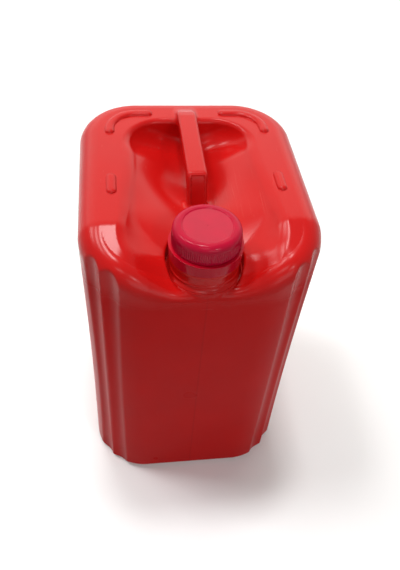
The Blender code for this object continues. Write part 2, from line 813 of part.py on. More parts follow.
def bridge_stub(name, radius, turn, top_z):
    """One of the small stubs left on the ring where the bridges to the cap have parted."""
    loops = []
    for z in (BAND_TOP_Z - STUB_ROOT, top_z):
        loop = []
        for u, v in ((-1, -1), (1, -1), (1, 1), (-1, 1)):
            point = Vector((radius + v * STUB_WIDTH / 2, u * STUB_LENGTH / 2, z))
            x = point.x * math.cos(turn) - point.y * math.sin(turn)
            y = point.x * math.sin(turn) + point.y * math.cos(turn)
            loop.append(Vector((x, y, z)))
        loops.append(loop)
    return add_object(name, mesh_from_loops(name, loops), (0.0, NECK_Y, 0.0))


def build_gasket():
    """The sealing disc inside the cap, just above the neck's mouth."""
    radius = CAP_BORE_RADIUS - GASKET_CLEARANCE
    top = GASKET_Z + GASKET_THICKNESS
    profile = [
        (radius - GASKET_BEVEL, GASKET_Z),
        (radius, GASKET_Z + GASKET_BEVEL),
        (radius, top - GASKET_BEVEL),
        (radius - GASKET_BEVEL, top),
    ]
    return turned("gasket", profile)


def give_material(obj, color, roughness):
    material = bpy.data.materials.new(obj.name)
    material.use_nodes = True
    shader = material.node_tree.nodes["Principled BSDF"]
    shader.inputs["Base Color"].default_value = (*color, 1.0)
    shader.inputs["Roughness"].default_value = roughness
    shader.inputs["Metallic"].default_value = 0.0
    obj.data.materials.append(material)


def join_doubled_points(data):
    """Make one point of points that a join or a cut left closer together than JOIN_REACH."""
    mesh = bmesh.new()
    mesh.from_mesh(data)
    bmesh.ops.remove_doubles(mesh, verts=mesh.verts, dist=JOIN_REACH)
    mesh.to_mesh(data)
    mesh.free()


def settle(pieces):
    """Turn each piece's joins and cuts into its own mesh, and drop the shapes that made them."""
    graph = bpy.context.evaluated_depsgraph_get()
    meshes = [bpy.data.meshes.new_from_object(piece.evaluated_get(graph)) for piece in pieces]
    for piece, data in zip(pieces, meshes):
        piece.modifiers.clear()
        piece.data = data
        data.name = piece.name
        join_doubled_points(data)
        shade_round(data)
    for obj in list(bpy.data.objects):
        if obj not in pieces:
            bpy.data.objects.remove(obj)


def main():
    for obj in list(bpy.data.objects):
        bpy.data.objects.remove(obj)
    can, cap, band, gasket = build_can(), build_cap(), build_band(), build_gasket()
    settle([can, cap, band, gasket])
    give_material(can, (0.60, 0.006, 0.007), 0.38)
    give_material(cap, (0.55, 0.003, 0.030), 0.25)
    give_material(band, (0.48, 0.003, 0.025), 0.28)
    give_material(gasket, (0.80, 0.79, 0.76), 0.60)


main()
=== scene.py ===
"""Looks of the plastic jerrycan: fine surfaces, materials, light and the photo's camera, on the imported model.

Metres, +Z up, with the neck towards -Y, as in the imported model. The can's skin is one smooth field, negative
inside the plastic, that is turned into a mesh; the neck and the closure are turned on the neck's axis.
"""

import itertools
import math

import bpy
import numpy as np
from mathutils import Matrix, Vector


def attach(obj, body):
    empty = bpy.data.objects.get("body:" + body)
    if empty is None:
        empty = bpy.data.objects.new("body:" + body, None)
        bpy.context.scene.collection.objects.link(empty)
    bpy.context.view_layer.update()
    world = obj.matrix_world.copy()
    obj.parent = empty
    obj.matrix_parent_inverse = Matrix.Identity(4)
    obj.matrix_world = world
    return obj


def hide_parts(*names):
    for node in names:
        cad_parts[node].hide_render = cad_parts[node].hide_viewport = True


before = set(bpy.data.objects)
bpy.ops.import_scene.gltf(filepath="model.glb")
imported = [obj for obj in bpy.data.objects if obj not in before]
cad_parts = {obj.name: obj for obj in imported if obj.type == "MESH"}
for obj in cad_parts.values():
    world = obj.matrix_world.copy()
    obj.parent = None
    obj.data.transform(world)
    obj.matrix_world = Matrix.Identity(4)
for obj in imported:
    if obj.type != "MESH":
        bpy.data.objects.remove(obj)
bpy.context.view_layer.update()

# Overall form of the can
WIDTH = 0.242
DEPTH = 0.281
RIM_HEIGHT = 0.385
CORNER_RADIUS = 0.065
SHOULDER_RADIUS = 0.023
FRONT_LIP_RADIUS = 0.010
FRONT_CORNER_LIP_RADIUS = 0.018
LIP_GROWTH_START = 0.030
LIP_GROWTH = 0.030
FOOT_RADIUS = 0.0095
WAIST = 0.0018

# Flutes at the upright corners
FLUTE_ANGLE = math.radians(19.5)
FLUTE_DEPTH = 0.0045
FLUTE_RIDGE_SOFTNESS = 0.04
FLUTE_EDGE = 0.0015
FLUTE_LIMIT = 1.6

# Sloping, dipping front of the rim
SLOPE_LENGTH = 0.0615
SLOPE_SOFTNESS = 0.004
RIM_SLOPE = math.tan(math.radians(18))
FRONT_DIP = 0.0235
DIP_OUTER = 0.085
DIP_INNER = 0.025
DIP_START = 0.040
DIP_RUN = 0.022

# Recess in the deck
SIDE_RIM = 0.0432
BACK_RIM = 0.047
FRONT_RIM = 0.0088
RECESS_FLARE = 0.054
FLARE_LENGTH = 0.040
FLARE_SOFTNESS = 0.030
BACK_CORNER = 0.049
FRONT_CORNER = 0.047
RECESS_DRAFT = 0.17
FRONT_DRAFT = 0.95
RECESS_EDGE_RADIUS = 0.005
FRONT_EDGE_RADIUS = 0.0045
FRONT_RUN = 0.040
RECESS_FOOT_RADIUS = 0.016
RECESS_LIP = 0.0025
LIP_REACH = 0.050
LIP_RAMP = 1.0

# Floor of the recess
GRIP_DEPTH = 0.036
GRIP_RISE = 0.50
REAR_RISE = 0.30
REAR_RISE_START = 0.035
REAR_RISE_RUN = 0.045
HUMP_DEPTH = 0.022
HUMP_RISE = 0.16
FRONT_RISE = 0.07
FRONT_RISE_RUN = 0.050
VALLEY_ROUNDING = 0.010
FLOOR_DISH_RADIUS = 0.42
FLOOR_BLEND = 0.013
HUMP_FOOT_BEHIND_NECK = 0.122
HUMP_TOP_BEHIND_NECK = 0.052
FALL_BEHIND_NECK = 0.032
FALL_SOFTNESS = 0.030
FLOOR_SLOPE = math.tan(math.radians(16.5))

# Carrying handle
HANDLE_WIDTH = 0.021
HANDLE_THICKNESS = 0.016
HANDLE_EDGE = 0.0040
HANDLE_RISE = 0.012
HANDLE_END_INSET = 0.0275
HANDLE_RAMP = 0.021
BEND_BEHIND_NECK = 0.0803
LEG_ANGLE = math.radians(66.5)
OUTER_BEND_RADIUS = 0.0045
INNER_BEND_RADIUS = 0.008
HANDLE_BLEND = 0.006
PANEL_WIDTH = 0.0135
PANEL_DEPTH = 0.0008
PANEL_START = 0.0025
PANEL_END = 0.034
PANEL_SOFTNESS = 0.0008
PANEL_CUT_AHEAD = 0.002
HANDLE_FOOT_Z = 0.337
HANDLE_TAIL = 0.008

# Stacking ribs
RIB_WIDTH = 0.0105
RIB_HEIGHT = 0.0032
RIB_FULLNESS = 2.4
RIB_INSET = 0.034
CORNER_RIB_BACK_END = 0.038
CORNER_RIB_SIDE_LENGTH = 0.040
SIDE_RIB_LENGTH = 0.0315
SIDE_RIB_FROM_MIDDLE = -0.021

# Base recess
BASE_RECESS_INSET = 0.02725
BASE_RECESS_DRAFT = 0.006
BASE_RECESS_DEPTH = 0.0168
BASE_RECESS_TOP_RADIUS = 0.003
BASE_RECESS_EDGE_RADIUS = 0.0015

# Neck
NECK_Y = 0.0382 - DEPTH / 2
MOUTH_Z = 0.3946
BOSS_Z = 0.3455
BOSS_RADIUS = 0.0376
BOSS_HALF_HEIGHT = 0.010
BOSS_BLEND = 0.0015
WELL_RADIUS = 0.0384
WELL_EDGE_RADIUS = 0.0018
BORE_RADIUS = 0.0252
LOWER_BORE_RADIUS = 0.0310
THREAD_ROOT_RADIUS = 0.0286
THREAD_DEPTH = 0.0018
THREAD_PITCH = 0.006
NECK_TURNS = 2.0
THREAD_START_DROP = 0.0156
THREAD_SINK = 0.0005
THREAD_ROOT_HALF = 0.0014
THREAD_CREST_HALF = 0.0007
THREAD_EDGE = 0.0002
THREAD_FLANK_SHARE = 0.82
THREAD_LEAST_SHARE = 0.05
THREAD_RUN_OUT = 0.12
GROOVE_RADIUS = 0.0306
SUPPORT_BEAD_RADIUS = 0.0354
SUPPORT_BEAD_HEIGHT = 0.0042
SUPPORT_BEAD_FLANK = 0.0004
LOWER_NECK_RADIUS = 0.0334
NECK_SINK = 0.003
NECK_FLARE = 0.0032
NECK_FLARE_BASE = 0.0003
NECK_FLARE_RISE = 0.0021
NECK_FLARE_FILLET = 0.0018
LOWER_BEAD_RADIUS = 0.0345
LOWER_BEAD_RISE = 0.0046
LOWER_BEAD_FLANK = 0.0007
LOWER_BEAD_FLAT = 0.0010
LOWER_BEAD_TOP_FLANK = 0.0010
RETAINING_BEAD_RADIUS = 0.0331
RETAINING_BEAD_PLAY = 0.0016
RETAINING_BEAD_FLANK = 0.0002
RETAINING_BEAD_FLAT = 0.0012
RETAINING_BEAD_TOP_FLANK = 0.0022
NECK_STEP = 0.0008
BORE_STRAIGHT_ABOVE_BEAD = 0.006
BORE_STEP_INSET = 0.0028
LOWER_BORE_DROP = 0.0015
LOWER_BORE_FILLET = 0.001
BORE_FILLET = 0.002

# Cap
CAP_RADIUS = 0.0330
CAP_BORE_RADIUS = 0.0312
CAP_SHOULDER = 0.0065
CAP_TOP_Z = 0.4000
CAP_CEILING_Z = 0.3972
CAP_BOTTOM_Z = 0.3797
DISC_Z = 0.3992
DISC_RADIUS = 0.0236
DISC_FLAT_RADIUS = 0.0215
DISC_RIM_RUN = 0.0008
DISC_RINGS = (0.006, 0.012, 0.018)
SHOULDER_LEAD = 0.0002
SKIRT_LEAD = 0.0001
SKIRT_EDGE_ZONE = 0.0005
BORE_EDGE_ZONE = 0.004
CEILING_DROP = 0.002
CEILING_EDGE_ZONE = 0.003
SHOULDER_STEPS = 14
SKIRT_STEPS = 22
CAP_RIBS = 100
CAP_RIB_DEPTH = 0.0005
CAP_RIB_SHARPNESS = 1.4
CAP_RIB_CENTRE = 0.25
CAP_RIB_INSET = 0.0015
CAP_RIB_START = 0.0010
CAP_RIB_START_FADE = 0.0006
CAP_RIB_STOP = 0.0002
CAP_RIB_STOP_FADE = 0.0025
POLE_RADIUS = 0.0004
CAP_THREAD_CREST = 0.0294
CAP_THREAD_LEAD_IN = 0.1
CAP_TURNS = 1.25

# Tamper ring, with the stubs of the bridges that held it to the cap
BAND_RADIUS = 0.0362
BAND_INNER_RADIUS = 0.0343
BAND_TOP_Z = 0.3789
BAND_BOTTOM_Z = 0.3664
BAND_FLANGE = 0.0013
BAND_FLANGE_REACH = 0.0004
BAND_FLANGE_FLANK = 0.0003
BAND_FOOT_BEVEL = 0.0006
BAND_LIP_RADIUS = 0.0315
BAND_LIP_LOW = 0.0010
BAND_LIP_HIGH = 0.0026
BAND_PLAY = 0.0003
BRIDGES = 16
BRIDGE_HALF_LENGTH = 0.0006
BRIDGE_HALF_WIDTH = 0.0004
BRIDGE_SINK = 0.0006
BRIDGE_RISE = 0.0005
BRIDGE_TAPER = 0.7

# Sealing disc
GASKET_RADIUS = 0.0304
GASKET_Z = 0.3949
GASKET_THICKNESS = 0.0020
GASKET_EDGE_ZONE = 0.002

# Fillets of the turned profiles
TINY_FILLET = 0.0002
FINE_FILLET = 0.0003
SMALL_FILLET = 0.0004
BEAD_FILLET = 0.0005
SOFT_FILLET = 0.0006
BROAD_FILLET = 0.0008

# Fineness of the meshes
PLAN_STEP = 0.00125
TOP_STEP = 0.0010
WALL_STEP = 0.008
FOOT_STEP = 0.00125
TOP_ZONE = 0.322
FOOT_ZONE = 0.022
ROUND_STEPS = 192
HELIX_STEPS = 96
LEAST_SLOPE_SQUARED = 0.05

# Walls that are duller than the deck
WORN_WALL_TOP = 0.350
WORN_WALL_FADE = 0.025

# Mould line round the middle of the can, and scratches on the deck beside the handle
SEAM_WIDTH = 0.0012
SCRATCH_TURN = math.radians(72)
SCRATCHED_SPOT = (0.052, -0.020)
SCRATCH_REACH = 0.050

# Colours of the can's plastic, and its noise scales per metre
DEEP_RED = (0.485, 0.0052, 0.0048)
BRIGHT_RED = (0.56, 0.0070, 0.0062)
SCUFF_COLOUR = (0.78, 0.25, 0.22)
SCRATCH_COLOUR = (0.80, 0.30, 0.26)
SEAM_COLOUR = (0.30, 0.002, 0.002)
PATCH_SCALE = 14
WAVE_SCALE = 12
GRAIN_SCALE = 700
STREAK_STRETCH = (260, 260, 5)
SCUFF_STRETCH = (900, 60, 300)
SCUFF_TURN = 0.5
SCRATCH_STRETCH = (1100, 9, 200)

# Wear, gloss and bumps of the can's plastic
PATCH_RANGE = (0.1, 0.9)
SCUFF_RANGE = (0.68, 0.80)
SCRATCH_RANGE = (0.62, 0.72)
SCUFF_TINT = 0.05
SCRATCH_TINT = 0.12
SEAM_TINT = 0.22
CAN_ROUGHNESS = (0.20, 0.26)
SCUFF_ROUGHNESS = 0.08
WORN_ROUGHNESS = 0.06
DECK_GLOSS = 0.15
WALL_GLOSS = 0.05
WAVE_HEIGHT = 0.0012
STREAK_HEIGHT = 0.00004
GRAIN_HEIGHT = 0.00002
SEAM_HEIGHT = 0.0001

# Colours of the closure's plastics, and their noise scales per metre
CAP_CRIMSON = (0.48, 0.003, 0.030)
RING_CRIMSON = (0.50, 0.003, 0.018)
CAP_DARKER = 0.92
CAP_PATCH_SCALE = 60
CAP_GRAIN_SCALE = 1500
GASKET_DARK = (0.70, 0.69, 0.65)
GASKET_LIGHT = (0.82, 0.81, 0.78)
GASKET_GRAIN_SCALE = 2500

# Gloss and bumps of the closure's plastics
CLOSURE_NOISE_RANGE = (0.3, 0.7)
CLOSURE_TINT_RANGE = (0.35, 0.65)
CAP_ROUGHNESS = (0.14, 0.20)
DISC_ROUGHNESS = 0.26
CAP_GLOSS = 0.10
DISC_GLOSS = 0.16
CAP_PATCH_HEIGHT = 0.0002
CAP_GRAIN_HEIGHT = 0.00001
GASKET_ROUGHNESS = (0.55, 0.70)
GASKET_GRAIN_HEIGHT = 0.00005

# Reach of the floor, and where its paint fades into plain white
FLOOR_REACH = 60.0
FLOOR_FADE_START = 1.1
FLOOR_FADE_END = 2.4

# Brightness of the floor and the world as they are seen, and in the light that they throw on the can
FLOOR_SEEN_LOW = 0.91
FLOOR_SEEN_HIGH = 0.93
FLOOR_FAR_GLOW = 0.95
FLOOR_THROWN = 0.34
WORLD_SEEN = 1.0
WORLD_THROWN = 0.10


# Fields and blends, on numpy arrays

def smooth(value):
    """Ease from 0 to 1 as value goes from 0 to 1."""
    t = np.clip(value, 0.0, 1.0)
    return t * t * (3 - 2 * t)


def blend(low, high, share):
    return low + (high - low) * share


def smooth_min(a, b, reach):
    """The lower of two values, eased into each other where they differ by less than reach."""
    share = np.clip(0.5 + 0.5 * (b - a) / reach, 0.0, 1.0)
    return blend(b, a, share) - reach * share * (1 - share)


def smooth_max(a, b, reach):
    return -smooth_min(-a, -b, reach)


def round_max(a, b, radius):
    """What two solids share, with their common edge rounded to a radius."""
    over = np.hypot(np.maximum(a + radius, 0.0), np.maximum(b + radius, 0.0))
    return np.minimum(np.maximum(a, b), -radius) + over


def plan_distance(x, y):
    """Distance from the can's outline in plan, negative inside, and the direction away from it."""
    over_x = np.abs(x) - (WIDTH / 2 - CORNER_RADIUS)
    over_y = np.abs(y) - (DEPTH / 2 - CORNER_RADIUS)
    reach = np.hypot(np.maximum(over_x, 0.0), np.maximum(over_y, 0.0))
    distance = reach + np.minimum(np.maximum(over_x, over_y), 0.0) - CORNER_RADIUS
    safe = np.maximum(reach, 1e-9)
    side = over_x > over_y
    out_x = np.where(reach > 0, np.maximum(over_x, 0.0) / safe, np.where(side, 1.0, 0.0))
    out_y = np.where(reach > 0, np.maximum(over_y, 0.0) / safe, np.where(side, 0.0, 1.0))
    return distance, out_x * np.sign(x), out_y * np.sign(y)


def flute_hollow(x, y):
    """Depth of the flutes below the plain corner, falling below zero outside them."""
    over_x = np.abs(x) - (WIDTH / 2 - CORNER_RADIUS)
    over_y = np.abs(y) - (DEPTH / 2 - CORNER_RADIUS)
    turn = np.arctan2(over_y, over_x) - math.pi / 4
    share = np.hypot(turn / FLUTE_ANGLE, FLUTE_RIDGE_SOFTNESS)
    share = np.minimum(share, FLUTE_LIMIT)
    return FLUTE_DEPTH * (1 - (2 * share - 1) ** 2)


def rim_height(x, y):
    """The flat rim, with its sloping front and the dip in front of the neck."""
    ahead = smooth_max(0.0, SLOPE_LENGTH - DEPTH / 2 - y, SLOPE_SOFTNESS)
    across = smooth((DIP_OUTER - np.abs(x)) / (DIP_OUTER - DIP_INNER))
    along = smooth((DIP_START - DEPTH / 2 - y) / DIP_RUN)
    return RIM_HEIGHT - RIM_SLOPE * ahead - FRONT_DIP * across * along


def recess_distance(x, y):
    """Distance from the recess's outline in plan, negative inside it."""
    back = DEPTH / 2 - BACK_RIM
    front = FRONT_RIM - DEPTH / 2
    middle = (back + front) / 2
    half_width = WIDTH / 2 - SIDE_RIM
    widening = RECESS_FLARE * smooth_min(middle - y, FLARE_LENGTH, FLARE_SOFTNESS)
    across = np.abs(x) * half_width / (half_width + widening)
    radius = np.where(y > middle, BACK_CORNER, FRONT_CORNER)
    over_side = across - half_width + radius
    over_end = np.abs(y - middle) - (back - front) / 2 + radius
    outside = np.hypot(np.maximum(over_side, 0.0), np.maximum(over_end, 0.0))
    return outside + np.minimum(np.maximum(over_side, over_end), 0.0) - radius


def deck_floor(x, y):
    """The recess's floor: a valley under the handle that rises to a hump behind the neck, then falls."""
    hump_foot = NECK_Y + HUMP_FOOT_BEHIND_NECK
    hump_top = NECK_Y + HUMP_TOP_BEHIND_NECK
    share = smooth((hump_foot - y) / (hump_foot - hump_top))
    depth = blend(GRIP_DEPTH, HUMP_DEPTH, share)
    rise = blend(GRIP_RISE, HUMP_RISE, share)
    rise = blend(rise, FRONT_RISE, smooth((hump_top - y) / FRONT_RISE_RUN))
    rise = blend(rise, REAR_RISE, smooth((y - REAR_RISE_START) / REAR_RISE_RUN))
    fall = FLOOR_SLOPE * smooth_max(0.0, NECK_Y + FALL_BEHIND_NECK - y, FALL_SOFTNESS)
    across = np.hypot(x, VALLEY_ROUNDING) - VALLEY_ROUNDING
    return RIM_HEIGHT - depth - fall + rise * across + x * x / (2 * FLOOR_DISH_RADIUS)


def segment_distance(x, y, x0, y0, x1, y1):
    length_x, length_y = x1 - x0, y1 - y0
    share = ((x - x0) * length_x + (y - y0) * length_y) / (length_x**2 + length_y**2)
    share = np.clip(share, 0.0, 1.0)
    return np.hypot(x - x0 - share * length_x, y - y0 - share * length_y)


def rib_height(x, y):
    """Height of the stacking ribs above the rim."""
    x = np.abs(x)
    line_x = WIDTH / 2 - RIB_INSET
    line_y = DEPTH / 2 - RIB_INSET
    bend = CORNER_RADIUS - RIB_INSET
    half = RIB_WIDTH / 2
    side_low = SIDE_RIB_FROM_MIDDLE - SIDE_RIB_LENGTH / 2 + half
    side_high = SIDE_RIB_FROM_MIDDLE + SIDE_RIB_LENGTH / 2 - half
    along_back = segment_distance(x, y, CORNER_RIB_BACK_END + half, line_y, line_x - bend, line_y)
    down_side = segment_distance(
        x, y, line_x, line_y - bend, line_x, line_y - CORNER_RIB_SIDE_LENGTH + half
    )
    from_bend_x = x - line_x + bend
    from_bend_y = y - line_y + bend
    on_bend = np.abs(np.hypot(from_bend_x, from_bend_y) - bend)
    on_bend = np.where((from_bend_x > 0) & (from_bend_y > 0), on_bend, 1.0)
    bar = segment_distance(x, y, line_x, side_low, line_x, side_high)
    distance = np.minimum(np.minimum(along_back, down_side), np.minimum(on_bend, bar))
    return RIB_HEIGHT * np.sqrt(np.maximum(1 - (distance / half) ** RIB_FULLNESS, 0.0))


def slope_share(height, x, y):
    """Cosine of the slope of a height in plan, which turns heights into distances."""
    step = 0.0005
    along_x = (height(x + step, y) - height(x - step, y)) / (2 * step)
    along_y = (height(x, y + step) - height(x, y - step)) / (2 * step)
    return 1 / np.sqrt(1 + along_x**2 + along_y**2)


def recess_bottom(x, y):
    """The floor of the recess, kept a little below the rim all round."""
    inside = np.maximum(-recess_distance(x, y), 0.0)
    lip = RECESS_LIP * smooth(np.abs(x) / LIP_REACH)
    highest = rim_height(x, y) - lip + LIP_RAMP * inside
    return smooth_min(deck_floor(x, y), highest, FLOOR_BLEND)


def deck_field(x, y, z, edge, out_x, out_y, lip):
    """Below the rim and outside the recess: the deck as a field, level across the can's rounded lip."""
    over = np.maximum(edge + lip, 0.0)
    at_x, at_y = x - out_x * over, y - out_y * over
    rim = rim_height(at_x, at_y)
    above_rim = (z - rim - rib_height(x, y)) * slope_share(rim_height, at_x, at_y)
    bottom = recess_bottom(at_x, at_y)
    above_floor = (z - bottom) * slope_share(recess_bottom, at_x, at_y)
    front = smooth((SLOPE_LENGTH + FRONT_RUN / 2 - DEPTH / 2 - at_y) / FRONT_RUN)
    draft = blend(RECESS_DRAFT, FRONT_DRAFT, front)
    inside_wall = (recess_distance(x, y) + draft * (rim - z)) / np.hypot(1, draft)
    hollow = round_max(inside_wall, -above_floor, RECESS_FOOT_RADIUS)
    return round_max(above_rim, -hollow, blend(RECESS_EDGE_RADIUS, FRONT_EDGE_RADIUS, front)), rim


def handle_field(x, y, z):
    """The handle's bar: rear ramp, straight grip and front leg, with rounded edges."""
    top = RIM_HEIGHT + HANDLE_RISE
    ramp_length = math.hypot(HANDLE_RAMP, HANDLE_RISE)
    rear = DEPTH / 2 - HANDLE_END_INSET
    above_ramp = ((y - rear) * HANDLE_RISE + (z - RIM_HEIGHT) * HANDLE_RAMP) / ramp_length
    front = NECK_Y + BEND_BEHIND_NECK
    ahead_of_leg = -(y - front) * math.sin(LEG_ANGLE) + (z - top) * math.cos(LEG_ANGLE)
    above_top = z - top
    outer = round_max(round_max(above_top, above_ramp, OUTER_BEND_RADIUS), ahead_of_leg, OUTER_BEND_RADIUS)
    thick = HANDLE_THICKNESS
    gap = round_max(above_top + thick, above_ramp + thick, INNER_BEND_RADIUS)
    gap = round_max(gap, ahead_of_leg + thick, INNER_BEND_RADIUS)
    bar = round_max(np.maximum(outer, -gap), np.abs(x) - HANDLE_WIDTH / 2, HANDLE_EDGE)
    past_ends = np.maximum(HANDLE_FOOT_Z - z, y - rear - HANDLE_TAIL)
    bar = np.maximum(bar, past_ends)

    down_leg = -(y - front) * math.cos(LEG_ANGLE) - (z - top) * math.sin(LEG_ANGLE)
    panel = np.maximum(np.abs(x) - PANEL_WIDTH / 2, -(ahead_of_leg + PANEL_DEPTH))
    panel = np.maximum(panel, np.maximum(PANEL_START - down_leg, down_leg - PANEL_END))
    panel = np.maximum(panel, ahead_of_leg - PANEL_CUT_AHEAD)
    return smooth_max(bar, -panel, PANEL_SOFTNESS)


def can_field(x, y, z):
    """The can's outer skin without its neck: negative inside, about a distance near the skin."""
    edge, out_x, out_y = plan_distance(x, y)
    wall_x, wall_y = x - out_x * edge, y - out_y * edge
    growth = smooth((np.abs(wall_x) - LIP_GROWTH_START) / LIP_GROWTH)
    front_lip = blend(FRONT_LIP_RADIUS, FRONT_CORNER_LIP_RADIUS, growth)
    lip = blend(front_lip, SHOULDER_RADIUS, smooth((wall_y + DEPTH / 2) / SLOPE_LENGTH))
    deck, rim = deck_field(x, y, z, edge, out_x, out_y, lip)
    wall_top = rim - lip
    share = np.clip((z - FOOT_RADIUS) / (wall_top - FOOT_RADIUS), 0.0, 1.0)
    wall = edge + WAIST * np.sin(math.pi * share)
    plain = round_max(round_max(wall, deck, lip), -z, FOOT_RADIUS)
    can = smooth_max(plain, edge + flute_hollow(x, y), FLUTE_EDGE)

    inset = edge + BASE_RECESS_INSET + BASE_RECESS_DRAFT * z / BASE_RECESS_DEPTH
    recess = round_max(inset, z - BASE_RECESS_DEPTH, BASE_RECESS_TOP_RADIUS)
    can = round_max(can, -recess, BASE_RECESS_EDGE_RADIUS)

    from_axis = np.hypot(x, y - NECK_Y)
    from_boss_middle = np.abs(z - BOSS_Z + BOSS_HALF_HEIGHT)
    boss = np.maximum(from_axis - BOSS_RADIUS, from_boss_middle - BOSS_HALF_HEIGHT)
    can = smooth_min(can, boss, BOSS_BLEND)
    well = np.maximum(from_axis - WELL_RADIUS, BOSS_Z - z)
    can = round_max(can, -well, WELL_EDGE_RADIUS)
    can = smooth_min(can, handle_field(x, y, z), HANDLE_BLEND)
    return np.maximum(can, edge)


# Meshes

def grid_lines():
    """The grid's lines along x (one half), y and z: fine in plan, at the foot and at the top."""
    half = np.arange(0.0, WIDTH / 2 + 2 * PLAN_STEP, PLAN_STEP)
    reach = DEPTH / 2 + 2 * PLAN_STEP
    along_y = np.arange(-reach, reach + PLAN_STEP, PLAN_STEP)
    foot = np.arange(-1.5 * FOOT_STEP, FOOT_ZONE, FOOT_STEP)
    wall = np.arange(FOOT_ZONE, TOP_ZONE, WALL_STEP)
    top = np.arange(TOP_ZONE, RIM_HEIGHT + HANDLE_RISE + 2 * TOP_STEP, TOP_STEP)
    return half, along_y, np.concatenate([foot, wall, top])


def surface_net(values, lines):
    """Points and outward quads of the surface where values change sign on a grid."""
    inside = values < 0
    count = [n - 1 for n in values.shape]
    corners = [
        inside[i : i + count[0], j : j + count[1], k : k + count[2]]
        for i, j, k in itertools.product((0, 1), repeat=3)
    ]
    touched = np.logical_or.reduce(corners) & ~np.logical_and.reduce(corners)
    cells = np.argwhere(touched)
    number = np.full(touched.shape, -1, np.int32)
    number[touched] = np.arange(len(cells))

    total = np.zeros((len(cells), 3))
    crossings = np.zeros(len(cells))
    for axis in range(3):
        for offset in itertools.product((0, 1), repeat=2):
            low = cells.copy()
            low[:, [a for a in range(3) if a != axis]] += offset
            high = low.copy()
            high[:, axis] += 1
            value_low, value_high = values[tuple(low.T)], values[tuple(high.T)]
            crossed = (value_low < 0) != (value_high < 0)
            share = np.where(crossed, value_low / np.where(crossed, value_low - value_high, 1.0), 0.0)
            place_low = np.stack([lines[a][low[:, a]] for a in range(3)], axis=1)
            place_high = np.stack([lines[a][high[:, a]] for a in range(3)], axis=1)
            place = place_low + (place_high - place_low) * share[:, None]
            total += place * crossed[:, None]
            crossings += crossed
    points = total / crossings[:, None]

    quads = []
    for axis in range(3):
        second, third = (axis + 1) % 3, (axis + 2) % 3
        low = np.take(inside, np.arange(count[axis]), axis)
        high = np.take(inside, np.arange(1, count[axis] + 1), axis)
        edges = np.argwhere(low != high)
        kept = (edges[:, second] > 0) & (edges[:, second] < count[second])
        kept &= (edges[:, third] > 0) & (edges[:, third] < count[third])
        edges = edges[kept]
        ring = []
        for back_second, back_third in ((1, 1), (0, 1), (0, 0), (1, 0)):
            cell = edges.copy()
            cell[:, second] -= back_second
            cell[:, third] -= back_third
            ring.append(number[tuple(cell.T)])
        ring = np.stack(ring, axis=1)
        outward = inside[tuple(edges.T)]
        quads.append(np.where(outward[:, None], ring, ring[:, ::-1]))
    return points, np.concatenate(quads)


def field_slope(field, points):
    """Gradient of a field at points."""
    step = 0.0002
    slope = np.empty_like(points)
    for axis in range(3):
        shift = np.zeros(3)
        shift[axis] = step
        slope[:, axis] = (field(*(points + shift).T) - field(*(points - shift).T)) / (2 * step)
    return slope


def mesh_from_arrays(name, points, quads):
    """A mesh from numpy arrays of points and quads, shaded smooth."""
    mesh = bpy.data.meshes.new(name)
    mesh.vertices.add(len(points))
    mesh.vertices.foreach_set("co", points.astype(np.float32).ravel())
    mesh.loops.add(quads.size)
    mesh.loops.foreach_set("vertex_index", quads.astype(np.int32).ravel())
    mesh.polygons.add(len(quads))
    mesh.polygons.foreach_set("loop_start", np.arange(0, quads.size, 4, dtype=np.int32))
    mesh.update(calc_edges=True)
    mesh.validate()
    mesh.shade_smooth()
    return mesh


def add_piece(name, mesh, body, node=None):
    """Put a mesh in the scene on a body; it may stand for one of the model's nodes."""
    piece = bpy.data.objects.new(name, mesh)
    bpy.context.scene.collection.objects.link(piece)
    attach(piece, body)
    if node:
        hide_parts(node)
    return piece


def build_can_skin():
    """The can's skin: its right half's field mirrored, netted, then drawn onto the exact surface."""
    half, along_y, along_z = grid_lines()
    right = can_field(half[:, None, None], along_y[None, :, None], along_z[None, None, :])
    values = np.concatenate([right[:0:-1], right])
    along_x = np.concatenate([-half[:0:-1], half])
    points, quads = surface_net(values, (along_x, along_y, along_z))
    for _ in range(3):
        slope = field_slope(can_field, points)
        steep = np.maximum((slope**2).sum(axis=1), LEAST_SLOPE_SQUARED)
        step = -can_field(*points.T) / steep
        points += slope * np.clip(step, -PLAN_STEP, PLAN_STEP)[:, None]
    normals = field_slope(can_field, points)
    normals /= np.linalg.norm(normals, axis=1, keepdims=True)
    mesh = mesh_from_arrays("can_skin", points, quads)
    mesh.normals_split_custom_set_from_vertices(normals.astype(np.float32))
    return add_piece("can_skin", mesh, "can", "can_body")


def rounded_profile(corners, steps=4):
    """A profile of (radius, height, fillet) corners, with each corner softened over its fillet."""
    points = []
    for i, (radius, height, fillet) in enumerate(corners):
        here = Vector((radius, height))
        if not fillet or i in (0, len(corners) - 1):
            points.append(here)
            continue
        before = (Vector(corners[i - 1][:2]) - here).normalized()
        after = (Vector(corners[i + 1][:2]) - here).normalized()
        for step in range(steps + 1):
            share = step / steps
            a, b = here + before * fillet * (1 - share), here + after * fillet * share
            points.append(a.lerp(b, share))
    return points


def turned_mesh(name, profile, steps=ROUND_STEPS, wrap=False, bulge=None):
    """A profile turned on the neck's axis; wrap joins its ends, bulge(turns, radius, height) widens it."""
    turns = np.arange(steps) * 2 * math.pi / steps
    rings = []
    for radius, height in profile:
        reach = radius + (bulge(turns, radius, height) if bulge else 0.0)
        level = np.full(steps, height)
        rings.append(np.stack([reach * np.cos(turns), NECK_Y + reach * np.sin(turns), level], axis=1))
    points = np.concatenate(rings)
    quads = []
    here = np.arange(steps)
    after = (here + 1) % steps
    last = len(rings) if wrap else len(rings) - 1
    for i in range(last):
        low, high = i * steps, (i + 1) % len(rings) * steps
        quads.append(np.stack([low + here, low + after, high + after, high + here], axis=1))
    return mesh_from_arrays(name, points, np.concatenate(quads))


